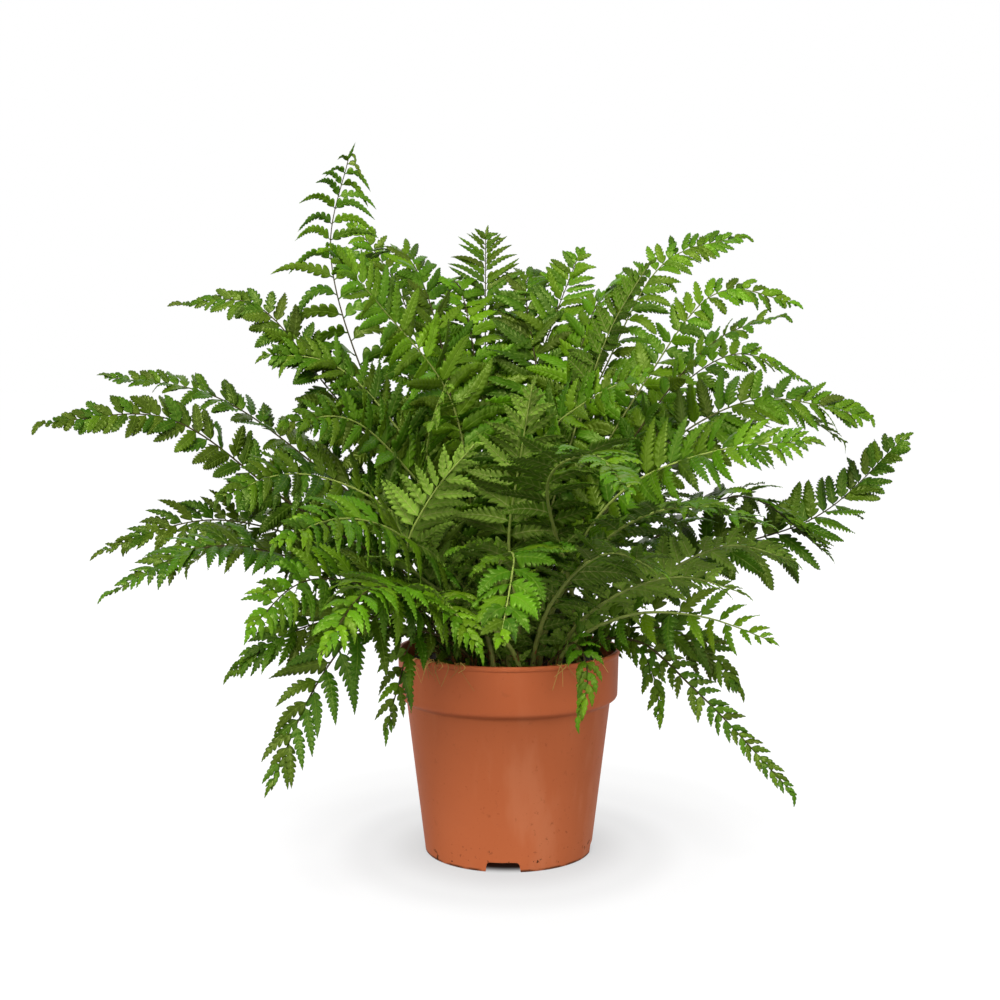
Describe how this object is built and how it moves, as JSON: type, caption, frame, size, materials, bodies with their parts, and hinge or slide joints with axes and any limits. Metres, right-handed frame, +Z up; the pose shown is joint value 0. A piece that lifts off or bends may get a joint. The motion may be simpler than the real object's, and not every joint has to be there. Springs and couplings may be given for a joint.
{
  "type": "potted fern",
  "caption": "Dense arching fern with twice-cut fronds, growing in a round tapered nursery pot with a banded rim and drain notches.",
  "frame": {"origin": "centre of the plant's outline on the surface it stands on, which is the pot's axis at the foot ring", "axes": "+Z up the pot's axis, +X along the plant's longest spread, -Y towards the front"},
  "size_m": [0.486, 0.4119, 0.408],
  "materials": {
    "pot": "satin",
    "soil": "matte",
    "frond_bright": "satin",
    "frond_middle": "satin",
    "frond_dark": "satin",
    "frond_olive": "satin"
  },
  "bodies": {
    "root": {"pot": "pot", "soil": "soil", "frond_left_1": "frond_bright", "frond_left_2": "frond_dark", "frond_left_3": "frond_dark", "frond_left_4": "frond_middle", "frond_left_5": "frond_bright", "frond_left_6": "frond_middle", "frond_left_7": "frond_middle", "frond_left_8": "frond_bright", "frond_left_9": "frond_middle", "frond_left_10": "frond_bright", "frond_left_11": "frond_bright", "frond_right_1": "frond_bright", "frond_right_2": "frond_bright", "frond_right_3": "frond_dark", "frond_right_4": "frond_middle", "frond_right_5": "frond_middle", "frond_right_6": "frond_olive", "frond_right_7": "frond_dark", "frond_right_8": "frond_olive", "frond_right_9": "frond_olive", "frond_right_10": "frond_olive", "frond_right_11": "frond_dark", "frond_right_12": "frond_bright", "frond_right_13": "frond_middle", "frond_right_14": "frond_bright", "frond_top_1": "frond_dark", "frond_top_2": "frond_middle", "frond_top_3": "frond_middle", "frond_top_4": "frond_bright", "frond_top_5": "frond_bright", "frond_middle_1": "frond_bright", "frond_middle_2": "frond_olive", "frond_middle_3": "frond_olive", "frond_middle_4": "frond_bright", "frond_middle_5": "frond_bright", "frond_middle_6": "frond_middle", "frond_middle_7": "frond_middle", "frond_middle_8": "frond_middle", "frond_middle_9": "frond_dark", "frond_middle_10": "frond_dark", "frond_middle_11": "frond_dark", "frond_middle_12": "frond_dark", "frond_middle_13": "frond_bright", "frond_middle_14": "frond_middle", "frond_back_low_1": "frond_middle", "frond_back_low_2": "frond_dark", "frond_back_low_3": "frond_bright", "frond_back_low_4": "frond_middle", "frond_back_low_5": "frond_olive", "frond_back_middle_1": "frond_middle", "frond_back_middle_2": "frond_dark", "frond_back_middle_3": "frond_bright", "frond_back_middle_4": "frond_middle", "frond_back_middle_5": "frond_olive", "frond_back_high_1": "frond_middle", "frond_back_high_2": "frond_dark", "frond_back_high_3": "frond_bright", "frond_back_high_4": "frond_middle"}
  },
  "joints": []
}
